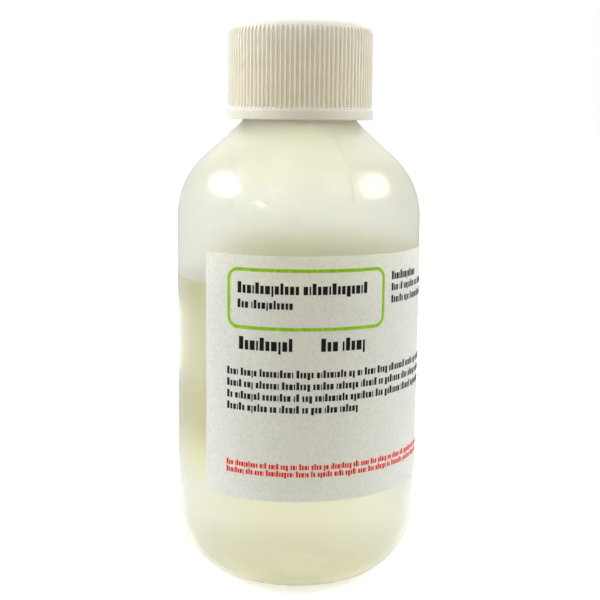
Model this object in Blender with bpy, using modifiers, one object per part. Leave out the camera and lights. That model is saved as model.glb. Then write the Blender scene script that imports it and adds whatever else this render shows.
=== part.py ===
"""Squeeze bottle for lens solution, with a ribbed screw cap.

A round-shouldered bottle of natural polyethylene (the "Boston round" shape) stands on its foot at z = 0.
Its axis is Z, and the printed front of its label faces -Y. Everything is in metres.

How it comes apart on a bench, from the top down:
  cap              white ribbed screw cap with an internal thread
  cap_liner        foam disc that seals against the dispensing plug
  orifice_reducer  press-in plug with the small hole that the solution is squeezed through
  bottle           blow-moulded body with the external thread
  label            paper label wrapped round the body
  solution         the liquid inside
"""

import math

import bmesh
import bpy

# ---- Driving dimensions, in metres ------------------------------------------------------------

BODY_RADIUS = 0.0196
WALL = 0.0009
SEAT_GAP = 0.00015  # between two pieces that touch on the real bottle
CUT_PAST = 0.001  # how far a cutter reaches past the face that it cuts

# Foot and heel: the wall turns in through a quarter ellipse to a flat foot ring, and the base inside
# that ring is pushed up.
HEEL_WIDTH = 0.0086
HEEL_HEIGHT = 0.0113
FOOT_RING_WIDTH = 0.0022
PUSH_UP = 0.0013
PUSH_UP_BEND = (0.72, 0.8)  # where it levels off, as shares of the ring's inner radius and of the push-up
BASE_WALL = 0.0012

# Shoulder: a large round, then a straight cone up to the neck.
SHOULDER_START = 0.0582
SHOULDER_ROUND = 0.0130
SHOULDER_ANGLE = math.radians(48.3)  # of the cone's side, away from vertical

# Neck finish: a nominal 20 mm neck with one and a half turns of thread.
NECK_ROOT_RADIUS = 0.00885
NECK_BORE_RADIUS = 0.0066
NECK_FILLET = 0.0008
LIP_ROUND = 0.0004
THREAD_PITCH = 0.003175
THREAD_TURNS = 1.5
THREAD_DEPTH = 0.0010
THREAD_ROOT_WIDTH = 0.0015
THREAD_CREST_WIDTH = 0.0006
THREAD_BURIED = 0.0003  # how deep a thread's root lies inside the wall that carries it
THREAD_FADE = 0.0001  # height of its sections where they start, inside the wall
THREAD_FROM_LIP = 0.0020  # from the lip down to the middle of the thread's upper end
THREAD_START = math.radians(3)  # where the thread's lower end is, round Z from +X
THREAD_CLEARANCE = 0.0004  # radial, between a crest and the root that it faces
THREAD_FLANK_GAP = 0.0003  # axial, between the flanks that press together

# Cap
CAP_HEIGHT = 0.0153
CAP_BOTTOM = 0.0737
CAP_RADIUS = 0.0115
CAP_TOP_WALL = 0.0015
CAP_CORNER = (0.0029, 0.0024)  # its width and height
CAP_BAND_RADIUS = 0.0117
CAP_BAND_HEIGHT = 0.0016
CAP_MOUTH_FLARE = 0.0003
RIB_COUNT = 96
RIB_DEPTH = 0.00038
RIB_CREST_SHARE = 0.34  # of the pitch between two ribs
RIB_FLANK_SHARE = 0.16
RIB_SHARP_ANGLE = math.radians(25)

# Liner and plug
LINER_THICKNESS = 0.0010
LINER_RADIUS = 0.0097
LINER_EDGE = 0.0002
PLUG_FLANGE_RADIUS = 0.0082
PLUG_FLANGE_THICKNESS = 0.0008
PLUG_LENGTH = 0.0068
PLUG_WALL = 0.0009
PLUG_BEAD = 0.00012
PLUG_BEAD_WIDTH = 0.00072
PLUG_LEAD_IN = 0.0003  # how much the skirt's foot is narrowed, so that it finds the bore
PLUG_HOLE_RADIUS = 0.0012

# Label: it starts at an angle measured from the front (-Y) towards +X, and its facets match the body's.
LABEL_BOTTOM = 0.0165
LABEL_HEIGHT = 0.0375
LABEL_START = math.radians(-45)
LABEL_STEPS = 35
LABEL_THICKNESS = 0.0001
LABEL_GAP = 0.00005

# Solution: 50 ml fills the bottle to this height.
FILL_HEIGHT = 0.0487
MENISCUS = 0.0005

# How finely the round shapes are divided: steps of a whole turn, and points of a quarter or shorter arc
BODY_STEPS = 48
PLUG_STEPS = 36
LIP_POINTS = 3
SHOULDER_POINTS = 7
HEEL_POINTS = 9
INNER_SHOULDER_POINTS = 6
INNER_HEEL_POINTS = 7
CAP_CORNER_POINTS = 6
THREAD_STEPS_PER_TURN = 32
MERGE_DISTANCE = 0.00001

# ---- Heights and radii that follow from those --------------------------------------------------

CAP_TOP = CAP_BOTTOM + CAP_HEIGHT
CAP_CEILING = CAP_TOP - CAP_TOP_WALL
LINER_TOP = CAP_CEILING - SEAT_GAP
LINER_BOTTOM = LINER_TOP - LINER_THICKNESS
PLUG_TOP = LINER_BOTTOM - SEAT_GAP
LIP_HEIGHT = PLUG_TOP - PLUG_FLANGE_THICKNESS - SEAT_GAP
THREAD_LOW_END = LIP_HEIGHT - THREAD_FROM_LIP - THREAD_TURNS * THREAD_PITCH
CAP_BORE_RADIUS = NECK_ROOT_RADIUS + THREAD_DEPTH + THREAD_CLEARANCE
FOOT_RADIUS = BODY_RADIUS - HEEL_WIDTH
FOOT_RING_INSIDE = FOOT_RADIUS - FOOT_RING_WIDTH


# ---- Helpers ----------------------------------------------------------------------------------


def clear_scene():
    for obj in list(bpy.data.objects):
        bpy.data.objects.remove(obj, do_unlink=True)


def new_collection(name):
    collection = bpy.data.collections.new(name)
    bpy.context.scene.collection.children.link(collection)
    return collection


def new_material(name, colour, roughness, alpha=1.0):
    material = bpy.data.materials.new(name)
    material.use_nodes = True
    shader = material.node_tree.nodes["Principled BSDF"]
    shader.inputs["Base Color"].default_value = (*colour, 1.0)
    shader.inputs["Roughness"].default_value = roughness
    shader.inputs["Metallic"].default_value = 0.0
    shader.inputs["Alpha"].default_value = alpha
    return material


def arc(centre, radii, start, end, count):
    """Points on an ellipse in the profile's plane, both ends included. Angles run from +X towards +Z."""
    (cx, cz), (rx, rz) = centre, radii
    angles = [start + (end - start) * i / (count - 1) for i in range(count)]
    return [(cx + rx * math.cos(a), cz + rz * math.sin(a)) for a in angles]


def new_object(name, mesh, collection, material=None):
    obj = bpy.data.objects.new(name, mesh)
    collection.objects.link(obj)
    if material:
        mesh.materials.append(material)
    return obj


def turned(name, profile, steps, collection, material=None, closed=False, start=0.0, sweep=2 * math.pi):
    """A profile of (radius, height) points in the XZ plane, turned round Z by a Screw modifier."""
    mesh = bpy.data.meshes.new(name)
    edges = [(i, i + 1) for i in range(len(profile) - 1)]
    if closed:
        edges.append((len(profile) - 1, 0))
    turn = (math.cos(start), math.sin(start))
    mesh.from_pydata([(r * turn[0], r * turn[1], z) for r, z in profile], edges, [])
    obj = new_object(name, mesh, collection, material)
    screw = obj.modifiers.new("Turn", "SCREW")
    screw.axis = "Z"
    screw.angle = sweep
    screw.steps = steps
    screw.render_steps = steps
    screw.use_merge_vertices = True
    screw.merge_threshold = MERGE_DISTANCE
    screw.use_smooth_shade = True
    return obj


def helper(obj):
    """Marks a shape that only cuts or joins another one."""
    obj.hide_render = True
    obj.display_type = "WIRE"
    return obj


def boolean(obj, other, operation):
    modifier = obj.modifiers.new(f"{operation.title()} {other.name}", "BOOLEAN")
    modifier.operation = operation
    modifier.solver = "EXACT"
    modifier.object = other


def thread_ridge(name, collection, root_radius, crest_radius, low_end):
    """A ridge that climbs round Z as a right-hand helix and sinks into its wall at both ends.

    It is a loft of four-cornered sections, so that its height can fade out at the ends.
    """
    outward = 1 if crest_radius > root_radius else -1
    sunk = root_radius - outward * THREAD_BURIED
    faded = sunk + outward * THREAD_FADE
    steps = round(THREAD_TURNS * THREAD_STEPS_PER_TURN)
    fade_steps = THREAD_STEPS_PER_TURN // 8
    bm = bmesh.new()
    rings = []
    for i in range(steps + 1):
        share = min(1.0, i / fade_steps, (steps - i) / fade_steps)
        crest = faded + (crest_radius - faded) * share
        angle = THREAD_START + 2 * math.pi * i / THREAD_STEPS_PER_TURN
        middle = low_end + THREAD_PITCH * i / THREAD_STEPS_PER_TURN
        section = [
            (sunk, middle - THREAD_ROOT_WIDTH / 2),
            (crest, middle - THREAD_CREST_WIDTH / 2),
            (crest, middle + THREAD_CREST_WIDTH / 2),
            (sunk, middle + THREAD_ROOT_WIDTH / 2),
        ]
        rings.append([bm.verts.new((r * math.cos(angle), r * math.sin(angle), z)) for r, z in section])
    for low, high in zip(rings, rings[1:]):
        for k in range(4):
            bm.faces.new((low[k], low[(k + 1) % 4], high[(k + 1) % 4], high[k]))
    bm.faces.new(rings[0])
    bm.faces.new(rings[-1])
    bmesh.ops.recalc_face_normals(bm, faces=bm.faces)
    mesh = bpy.data.meshes.new(name)
    bm.to_mesh(mesh)
    bm.free()
    mesh.shade_smooth()
    return helper(new_object(name, mesh, collection))


# ---- The bottle -------------------------------------------------------------------------------


def cone_meets_round():
    """Where the shoulder's round passes into its cone, as (radius, height)."""
    centre = BODY_RADIUS - SHOULDER_ROUND
    return (
        centre + SHOULDER_ROUND * math.cos(SHOULDER_ANGLE),
        SHOULDER_START + SHOULDER_ROUND * math.sin(SHOULDER_ANGLE),
    )


def cone_height_at(radius):
    """Height of the shoulder's outer cone where it has this radius."""
    round_radius, round_height = cone_meets_round()
    return round_height + (round_radius - radius) / math.tan(SHOULDER_ANGLE)


def push_up_bend(floor):
    """Where the pushed-up base levels off, on its underside or on a surface that much higher."""
    radius_share, rise_share = PUSH_UP_BEND
    return (FOOT_RING_INSIDE * radius_share, PUSH_UP * rise_share + floor)


def outer_profile():
    """The bottle's outside, from its lip down to the middle of its base."""
    neck_foot = cone_height_at(NECK_ROOT_RADIUS)
    lip_centre = (NECK_ROOT_RADIUS - LIP_ROUND, LIP_HEIGHT - LIP_ROUND)
    lip = arc(lip_centre, (LIP_ROUND, LIP_ROUND), math.pi / 2, 0, LIP_POINTS)
    fillet = [
        (NECK_ROOT_RADIUS, neck_foot + NECK_FILLET),
        (NECK_ROOT_RADIUS + NECK_FILLET / 4, neck_foot + NECK_FILLET / 4),
        (NECK_ROOT_RADIUS + NECK_FILLET, cone_height_at(NECK_ROOT_RADIUS + NECK_FILLET)),
    ]
    shoulder = arc(
        (BODY_RADIUS - SHOULDER_ROUND, SHOULDER_START),
        (SHOULDER_ROUND, SHOULDER_ROUND),
        SHOULDER_ANGLE,
        0,
        SHOULDER_POINTS,
    )
    heel = arc((FOOT_RADIUS, HEEL_HEIGHT), (HEEL_WIDTH, HEEL_HEIGHT), 0, -math.pi / 2, HEEL_POINTS)
    return lip + fillet + shoulder + heel + [(FOOT_RING_INSIDE, 0), push_up_bend(0), (0, PUSH_UP)]


def inner_profile(gap=0.0):
    """The bottle's inside, from the middle of its base up to the bore's foot. gap moves it inwards."""
    wall = WALL + gap
    floor = BASE_WALL + gap
    heel = arc(
        (FOOT_RADIUS, HEEL_HEIGHT),
        (HEEL_WIDTH - wall, HEEL_HEIGHT - floor),
        -math.pi / 2,
        0,
        INNER_HEEL_POINTS,
    )
    shoulder = arc(
        (BODY_RADIUS - SHOULDER_ROUND, SHOULDER_START),
        (SHOULDER_ROUND - wall, SHOULDER_ROUND - wall),
        0,
        SHOULDER_ANGLE,
        INNER_SHOULDER_POINTS,
    )
    return [(0, PUSH_UP + floor), push_up_bend(floor)] + heel + shoulder


def make_bottle(parts, helpers, material):
    bore_foot = cone_height_at(NECK_BORE_RADIUS + WALL)
    bore = [
        (NECK_BORE_RADIUS, bore_foot),
        (NECK_BORE_RADIUS, LIP_HEIGHT - LIP_ROUND),
        (NECK_BORE_RADIUS + LIP_ROUND, LIP_HEIGHT),
    ]
    bottle = turned("bottle", inner_profile() + bore + outer_profile(), BODY_STEPS, parts, material)
    ridge = thread_ridge(
        "bottle_thread", helpers, NECK_ROOT_RADIUS, NECK_ROOT_RADIUS + THREAD_DEPTH, THREAD_LOW_END
    )
    boolean(bottle, ridge, "UNION")
    return bottle


# ---- What goes on and in the bottle -----------------------------------------------------------


def make_label(parts, material):
    """A sheet of paper round the body. Its profile lies on the wall, and Solidify thickens it outwards."""
    inside = BODY_RADIUS + LABEL_GAP
    start = LABEL_START - math.pi / 2
    sweep = 2 * math.pi * LABEL_STEPS / BODY_STEPS
    profile = [(inside, LABEL_BOTTOM + LABEL_HEIGHT), (inside, LABEL_BOTTOM)]
    label = turned("label", profile, LABEL_STEPS, parts, material, start=start, sweep=sweep)
    solidify = label.modifiers.new("Thickness", "SOLIDIFY")
    solidify.thickness = LABEL_THICKNESS
    solidify.offset = 1
    return label


def make_solution(parts, material):
    """The liquid, just clear of the wall all round, with its surface raised where it wets the wall."""
    side = [point for point in inner_profile(SEAT_GAP) if point[1] < SHOULDER_START]
    radius = BODY_RADIUS - WALL - SEAT_GAP
    surface = [(radius, FILL_HEIGHT + MENISCUS), (radius - 2 * MENISCUS, FILL_HEIGHT), (0, FILL_HEIGHT)]
    profile = list(reversed(side + surface))
    return turned("solution", profile, BODY_STEPS, parts, material)


def make_orifice_reducer(parts, material):
    """A flanged plug: a disc with the dispensing hole, over a skirt that a bead seals in the bore."""
    skirt = NECK_BORE_RADIUS - SEAT_GAP - PLUG_BEAD
    inside = skirt - PLUG_WALL
    foot = PLUG_TOP - PLUG_LENGTH
    flange_foot = PLUG_TOP - PLUG_FLANGE_THICKNESS
    bead = foot + PLUG_LENGTH / 2
    profile = [
        (PLUG_HOLE_RADIUS, PLUG_TOP),
        (PLUG_FLANGE_RADIUS, PLUG_TOP),
        (PLUG_FLANGE_RADIUS, flange_foot),
        (skirt, flange_foot),
        (skirt, bead + PLUG_BEAD_WIDTH / 2),
        (skirt + PLUG_BEAD, bead),
        (skirt, bead - PLUG_BEAD_WIDTH / 2),
        (skirt - PLUG_LEAD_IN, foot),
        (inside, foot),
        (inside, flange_foot),
        (PLUG_HOLE_RADIUS, flange_foot),
    ]
    return turned("orifice_reducer", profile, PLUG_STEPS, parts, material, closed=True)


def make_liner(parts, material):
    profile = [
        (0, LINER_TOP),
        (LINER_RADIUS - LINER_EDGE, LINER_TOP),
        (LINER_RADIUS, LINER_TOP - LINER_EDGE),
        (LINER_RADIUS, LINER_BOTTOM + LINER_EDGE),
        (LINER_RADIUS - LINER_EDGE, LINER_BOTTOM),
        (0, LINER_BOTTOM),
    ]
    return turned("cap_liner", profile, PLUG_STEPS, parts, material)


# ---- The cap ----------------------------------------------------------------------------------


def ribbed_prism(name, parts, material):
    """The cap's ribbed grip: an extruded outline, made a mesh, that stands past the cap's top."""
    outline = []
    pitch = 2 * math.pi / RIB_COUNT
    crest, flank = pitch * RIB_CREST_SHARE / 2, pitch * RIB_FLANK_SHARE
    for rib in range(RIB_COUNT):
        middle = pitch * rib
        for radius, offset in (
            (CAP_RADIUS - RIB_DEPTH, -crest - flank),
            (CAP_RADIUS, -crest),
            (CAP_RADIUS, crest),
            (CAP_RADIUS - RIB_DEPTH, crest + flank),
        ):
            outline.append((radius * math.cos(middle + offset), radius * math.sin(middle + offset)))
    curve = bpy.data.curves.new(name, "CURVE")
    curve.dimensions = "2D"
    curve.fill_mode = "BOTH"
    curve.extrude = (CAP_HEIGHT + CUT_PAST) / 2
    spline = curve.splines.new("POLY")
    spline.points.add(len(outline) - 1)
    for point, (x, y) in zip(spline.points, outline):
        point.co = (x, y, 0, 1)
    spline.use_cyclic_u = True
    guide = bpy.data.objects.new(name + "_outline", curve)
    parts.objects.link(guide)
    guide.location.z = CAP_BOTTOM + curve.extrude
    bpy.context.view_layer.update()
    graph = bpy.context.evaluated_depsgraph_get()
    mesh = bpy.data.meshes.new_from_object(guide.evaluated_get(graph))
    bm = bmesh.new()
    bm.from_mesh(mesh)
    bmesh.ops.remove_doubles(bm, verts=bm.verts, dist=MERGE_DISTANCE)
    bm.to_mesh(mesh)
    bm.free()
    mesh.shade_smooth()
    mesh.set_sharp_from_angle(angle=RIB_SHARP_ANGLE)
    mesh.materials.clear()
    prism = new_object(name, mesh, parts, material)
    prism.matrix_world = guide.matrix_world.copy()
    bpy.data.objects.remove(guide)
    bpy.data.curves.remove(curve)
    return prism


def make_cap(parts, helpers, material):
    cap = ribbed_prism("cap", parts, material)
    corner_width, corner_height = CAP_CORNER
    corner_centre = (CAP_RADIUS - corner_width, CAP_TOP - corner_height)
    corner = arc(corner_centre, CAP_CORNER, math.pi / 2, 0, CAP_CORNER_POINTS)
    reach = CAP_RADIUS + RIB_DEPTH
    skirt = [(reach, corner_centre[1]), (reach, CAP_BOTTOM - CUT_PAST), (0, CAP_BOTTOM - CUT_PAST)]
    envelope = turned("cap_envelope", [(0, CAP_TOP)] + corner[:-1] + skirt, BODY_STEPS, helpers)
    boolean(cap, helper(envelope), "INTERSECT")
    edge = CAP_BAND_RADIUS - CAP_RADIUS
    band_top = CAP_BOTTOM + CAP_BAND_HEIGHT
    band_profile = [
        (CAP_BORE_RADIUS, band_top),
        (CAP_BAND_RADIUS - edge, band_top),
        (CAP_BAND_RADIUS, band_top - edge),
        (CAP_BAND_RADIUS, CAP_BOTTOM),
        (CAP_BORE_RADIUS, CAP_BOTTOM),
    ]
    band = turned("cap_band", band_profile, BODY_STEPS, helpers, closed=True)
    boolean(cap, helper(band), "UNION")
    cavity_profile = [
        (0, CAP_CEILING),
        (CAP_BORE_RADIUS, CAP_CEILING),
        (CAP_BORE_RADIUS, CAP_BOTTOM + CUT_PAST),
        (CAP_BORE_RADIUS + CAP_MOUTH_FLARE, CAP_BOTTOM - CUT_PAST),
        (0, CAP_BOTTOM - CUT_PAST),
    ]
    cavity = turned("cap_cavity", cavity_profile, BODY_STEPS, helpers)
    boolean(cap, helper(cavity), "DIFFERENCE")
    facing = (THREAD_ROOT_WIDTH + THREAD_CREST_WIDTH) / 2 + THREAD_FLANK_GAP
    ridge = thread_ridge(
        "cap_thread", helpers, CAP_BORE_RADIUS, CAP_BORE_RADIUS - THREAD_DEPTH, THREAD_LOW_END - facing
    )
    boolean(cap, ridge, "UNION")
    return cap


def main():
    clear_scene()
    parts = new_collection("lens_solution_bottle")
    helpers = new_collection("cutters")
    natural = new_material("natural_polyethylene", (0.86, 0.87, 0.78), 0.35, 0.6)
    white = new_material("white_polypropylene", (0.86, 0.86, 0.80), 0.45)
    paper = new_material("label_paper", (0.84, 0.83, 0.80), 0.9)
    foam = new_material("liner_foam", (0.92, 0.92, 0.90), 0.8)
    liquid = new_material("pale_solution", (0.93, 0.93, 0.70), 0.05, 0.4)
    make_bottle(parts, helpers, natural)
    make_label(parts, paper)
    make_solution(parts, liquid)
    make_orifice_reducer(parts, natural)
    make_liner(parts, foam)
    make_cap(parts, helpers, white)


main()
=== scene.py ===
import math

import bmesh
import bpy
from mathutils import Matrix, Vector


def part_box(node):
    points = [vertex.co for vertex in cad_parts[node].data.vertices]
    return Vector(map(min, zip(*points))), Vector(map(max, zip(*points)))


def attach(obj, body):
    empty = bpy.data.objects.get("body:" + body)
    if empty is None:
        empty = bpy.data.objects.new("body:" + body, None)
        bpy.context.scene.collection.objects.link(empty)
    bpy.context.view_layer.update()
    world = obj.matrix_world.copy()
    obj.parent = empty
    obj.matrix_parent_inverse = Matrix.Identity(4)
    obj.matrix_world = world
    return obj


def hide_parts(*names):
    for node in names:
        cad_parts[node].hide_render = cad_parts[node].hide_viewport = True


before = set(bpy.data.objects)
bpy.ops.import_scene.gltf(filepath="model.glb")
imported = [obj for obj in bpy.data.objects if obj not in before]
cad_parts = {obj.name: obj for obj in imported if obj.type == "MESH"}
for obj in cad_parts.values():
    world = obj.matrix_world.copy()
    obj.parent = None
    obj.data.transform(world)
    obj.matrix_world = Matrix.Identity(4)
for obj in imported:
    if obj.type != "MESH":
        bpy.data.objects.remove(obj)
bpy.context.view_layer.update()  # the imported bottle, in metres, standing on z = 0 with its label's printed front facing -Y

MM = 0.001

# ---- Sizes read from the frame ----------------------------------------------------------------
# A box is its low and its high corner.

BOTTLE, CAP, LINER, PLUG, LABEL, LIQUID = (
    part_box(node) for node in ("bottle", "cap", "cap_liner", "orifice_reducer", "label", "solution")
)
BODY_RADIUS = BOTTLE[1][0]
LIP_HEIGHT = BOTTLE[1][2]
CAP_BOTTOM, CAP_TOP = CAP[0][2], CAP[1][2]
CAP_BAND_RADIUS = CAP[1][0]
LABEL_RADIUS = LABEL[1][1]
LABEL_BOTTOM, LABEL_TOP = LABEL[0][2], LABEL[1][2]
FILL_EDGE = LIQUID[1][2]

# ---- Sizes of the bottle that the frame's boxes don't give, as in its CAD ----------------------

WALL = 0.9 * MM
HEEL_WIDTH, HEEL_HEIGHT = 8.6 * MM, 11.3 * MM
FOOT_RING_WIDTH = 2.2 * MM
PUSH_UP = 1.3 * MM
BASE_WALL = 1.2 * MM
SHOULDER_START, SHOULDER_ROUND = 58.2 * MM, 13.0 * MM
SHOULDER_ANGLE = math.radians(48.3)
NECK_ROOT_RADIUS, NECK_BORE_RADIUS = 8.85 * MM, 6.6 * MM
NECK_FILLET = 0.9 * MM
LIP_ROUND = 0.4 * MM
THREAD_PITCH, THREAD_TURNS = 3.175 * MM, 1.5
THREAD_DEPTH, THREAD_CLEARANCE = 1.0 * MM, 0.4 * MM
THREAD_ROOT_WIDTH, THREAD_CREST_WIDTH = 1.5 * MM, 0.6 * MM
THREAD_LOW_END = LIP_HEIGHT - 2.0 * MM - THREAD_TURNS * THREAD_PITCH
THREAD_START = math.radians(3)
THREAD_FADE = math.radians(40)
THREAD_GAP_BELOW = 1.35 * MM  # from the bottle's thread down to the cap's
THREAD_ROWS = 64  # rows of faces along a threaded wall
CAP_RADIUS = 11.5 * MM
CAP_BORE_RADIUS = NECK_ROOT_RADIUS + THREAD_DEPTH + THREAD_CLEARANCE
CAP_TOP_WALL = 1.5 * MM
CAP_CORNER_WIDTH, CAP_CORNER_HEIGHT = 2.9 * MM, 2.4 * MM
CAP_BAND_HEIGHT = 1.6 * MM
RIB_COUNT, RIB_DEPTH = 96, 0.38 * MM
MENISCUS, MENISCUS_REACH = 0.5 * MM, 0.7 * MM
LABEL_START = math.radians(-45)  # from the front (-Y), growing towards +X
LABEL_SWEEP = math.radians(262.5)
SEAM_ANGLES = (math.radians(27), math.radians(207))  # the mould's parting line, measured the same way
FLASH_HALF_WIDTH, FLASH_HEIGHT = 0.15 * MM, 0.05 * MM  # the thin line all the way up
RIDGE_HALF_WIDTH, RIDGE_HEIGHT = 0.46 * MM, 0.17 * MM  # the broad ridge on the shoulder's round
FLASH_CREST, RIDGE_CREST = 0.2, 0.72  # their flat tops, as shares of the half widths
RIDGE_FOOT, RIDGE_HEAD = 61.6 * MM, 66.0 * MM

FRONT = -math.pi / 2


# ---- Mesh helpers -----------------------------------------------------------------------------


def arc(centre, radii, start, end, count):
    """Points on an ellipse in the (radius, height) plane, both ends included. Angles run from +X to +Z."""
    (cx, cz), (rx, rz) = centre, radii
    angles = [start + (end - start) * i / (count - 1) for i in range(count)]
    return [(cx + rx * math.cos(a), cz + rz * math.sin(a)) for a in angles]


def straight(a, b, count):
    """count points from a towards b, without b."""
    return [tuple(p + (q - p) * i / count for p, q in zip(a, b)) for i in range(count)]


def smoothstep(low, high, value):
    """0 at low to 1 at high, with a soft start and end. low may be the higher one."""
    t = min(1.0, max(0.0, (value - low) / (high - low)))
    return t * t * (3 - 2 * t)


def even_angles(count):
    return [2 * math.pi * i / count for i in range(count)]


def new_piece(name, bm, materials, body, sharp=30):
    """Turns a bmesh into a smooth-shaded piece that rides on a body."""
    bmesh.ops.recalc_face_normals(bm, faces=bm.faces)
    mesh = bpy.data.meshes.new(name)
    bm.to_mesh(mesh)
    bm.free()
    mesh.shade_smooth()
    mesh.set_sharp_from_angle(angle=math.radians(sharp))
    for material in materials:
        mesh.materials.append(material)
    piece = bpy.data.objects.new(name, mesh)
    bpy.context.scene.collection.objects.link(piece)
    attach(piece, body)
    return piece


def join_rings(bm, upper, lower, material_index):
    """Faces between two rings. One ring's count of points is a whole multiple of the other's."""
    if len(upper) < 2 or len(lower) < 2:
        pole, ring = (upper[0], lower) if len(upper) < 2 else (lower[0], upper)
        faces = [bm.faces.new((pole, ring[i - 1], ring[i])) for i in range(len(ring))]
    else:
        coarse, fine = sorted((upper, lower), key=len)
        ratio = len(fine) // len(coarse)
        faces = []
        for i in range(len(coarse)):
            start = i * ratio
            run = [fine[(start + k) % len(fine)] for k in range(ratio + 1)]
            faces.append(bm.faces.new([coarse[(i + 1) % len(coarse)], coarse[i]] + run))
    for face in faces:
        face.material_index = material_index


def lathe(profile, angles, shape=None, material_at=None, closed=False):
    """A surface turned round Z. profile holds (radius, height), with radius 0 at a pole.

    angles is a list, or a function of the row's number. shape(angle, radius, height, row) gives the
    radius at a place, for threads and ribs. material_at(row) gives the material of the faces that follow
    the row. A closed profile runs on from its last point to its first.
    """
    bm = bmesh.new()
    rings = []
    for row, (radius, height) in enumerate(profile):
        if radius <= 0:
            rings.append([bm.verts.new((0, 0, height))])
            continue
        ring = []
        for angle in angles(row) if callable(angles) else angles:
            r = shape(angle, radius, height, row) if shape else radius
            ring.append(bm.verts.new((r * math.cos(angle), r * math.sin(angle), height)))
        rings.append(ring)
    pairs = list(zip(rings, rings[1:]))
    if closed:
        pairs.append((rings[-1], rings[0]))
    for row, (upper, lower) in enumerate(pairs):
        join_rings(bm, upper, lower, material_at(row) if material_at else 0)
    return bm


def thread_height(angle, height, low_end):
    """How far a right-hand thread stands out of its wall at a place, as a share of its depth."""
    turn = (angle - THREAD_START) % (2 * math.pi)
    best = 0.0
    while turn <= THREAD_TURNS * 2 * math.pi:
        middle = low_end + THREAD_PITCH * turn / (2 * math.pi)
        away = abs(height - middle)
        side = 1 - smoothstep(THREAD_CREST_WIDTH / 2, THREAD_ROOT_WIDTH / 2, away)
        shaded_ends = min(turn, THREAD_TURNS * 2 * math.pi - turn) / THREAD_FADE
        best = max(best, side * smoothstep(0, 1, shaded_ends))
        turn += 2 * math.pi
    return best


# ---- Shader helpers ---------------------------------------------------------------------------

BLACK, WHITE = (0, 0, 0, 1), (1, 1, 1, 1)


def grey(value):
    return (value, value, value, 1)


def new_material(name):
    """A material with only a Principled shader: returns it, its node tree and the shader."""
    material = bpy.data.materials.new(name)
    material.use_nodes = True
    tree = material.node_tree
    return material, tree, tree.nodes["Principled BSDF"]


def srgb(red, green, blue):
    """A linear colour from 8-bit sRGB values."""
    def linear(value):
        value /= 255
        return value / 12.92 if value <= 0.04045 else ((value + 0.055) / 1.055) ** 2.4

    return (linear(red), linear(green), linear(blue), 1.0)


def object_place(tree, scale=(1, 1, 1)):
    """Object coordinates times a scale, as a socket."""
    place = tree.nodes.new("ShaderNodeTexCoord")
    mapping = tree.nodes.new("ShaderNodeMapping")
    mapping.inputs["Scale"].default_value = scale
    tree.links.new(place.outputs["Object"], mapping.inputs["Vector"])
    return mapping.outputs["Vector"]


def noise(tree, per_metre, detail, stretch=(1, 1, 1), roughness=0.5):
    """A noise texture's value, as a socket."""
    node = tree.nodes.new("ShaderNodeTexNoise")
    node.inputs["Scale"].default_value = per_metre
    node.inputs["Detail"].default_value = detail
    node.inputs["Roughness"].default_value = roughness
    tree.links.new(object_place(tree, stretch), node.inputs["Vector"])
    return node.outputs["Fac"]


def ramp(tree, value, stops):
    """A colour ramp through (place, colour) stops."""
    node = tree.nodes.new("ShaderNodeValToRGB")
    elements = node.color_ramp.elements
    while len(elements) < len(stops):
        elements.new(0.5)
    for element, (place, colour) in zip(elements, stops):
        element.position = place
        element.color = colour
    tree.links.new(value, node.inputs["Fac"])
    return node.outputs["Color"]


def span(tree, value, low, high):
    """value, from 0 to 1, mapped onto low to high."""
    node = tree.nodes.new("ShaderNodeMapRange")
    node.inputs["To Min"].default_value = low
    node.inputs["To Max"].default_value = high
    tree.links.new(value, node.inputs["Value"])
    return node.outputs["Result"]


def blended(tree, mode, amount, a, b):
    """Two colours mixed. amount is a number or a socket, and so is each colour."""
    node = tree.nodes.new("ShaderNodeMix")
    node.data_type = "RGBA"
    node.blend_type = mode
    for number, value in ((0, amount), (6, a), (7, b)):
        if isinstance(value, bpy.types.NodeSocket):
            tree.links.new(value, node.inputs[number])
        else:
            node.inputs[number].default_value = value
    return node.outputs[2]


def between(tree, value, low, high):
    """0 where value is low to 1 where it is high, as a socket."""
    node = tree.nodes.new("ShaderNodeMapRange")
    node.inputs["From Min"].default_value = low
    node.inputs["From Max"].default_value = high
    tree.links.new(value, node.inputs["Value"])
    return node.outputs["Result"]


def coordinate(tree, axis):
    """The object coordinate along "X", "Y" or "Z", as a socket."""
    parts = tree.nodes.new("ShaderNodeSeparateXYZ")
    tree.links.new(object_place(tree), parts.inputs["Vector"])
    return parts.outputs[axis]


def height_share(tree, low, high):
    """0 at the height low to 1 at the height high, as a socket."""
    return between(tree, coordinate(tree, "Z"), low, high)


def vector_math(tree, operation, vector, other=None):
    """DOT_PRODUCT of a vector with another one, or its LENGTH, as a socket."""
    node = tree.nodes.new("ShaderNodeVectorMath")
    node.operation = operation
    tree.links.new(vector, node.inputs[0])
    if other is not None:
        node.inputs[1].default_value = other
    return node.outputs["Value"]


def product(tree, a, b):
    """Two values multiplied, as a socket."""
    node = tree.nodes.new("ShaderNodeMath")
    node.operation = "MULTIPLY"
    tree.links.new(a, node.inputs[0])
    tree.links.new(b, node.inputs[1])
    return node.outputs["Value"]


def bump(tree, shader, value, height, strength):
    """Gives a shader bumps of a height, out of a value from 0 to 1."""
    node = tree.nodes.new("ShaderNodeBump")
    node.inputs["Strength"].default_value = strength
    node.inputs["Distance"].default_value = height
    tree.links.new(value, node.inputs["Height"])
    tree.links.new(node.outputs["Normal"], shader.inputs["Normal"])


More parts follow.
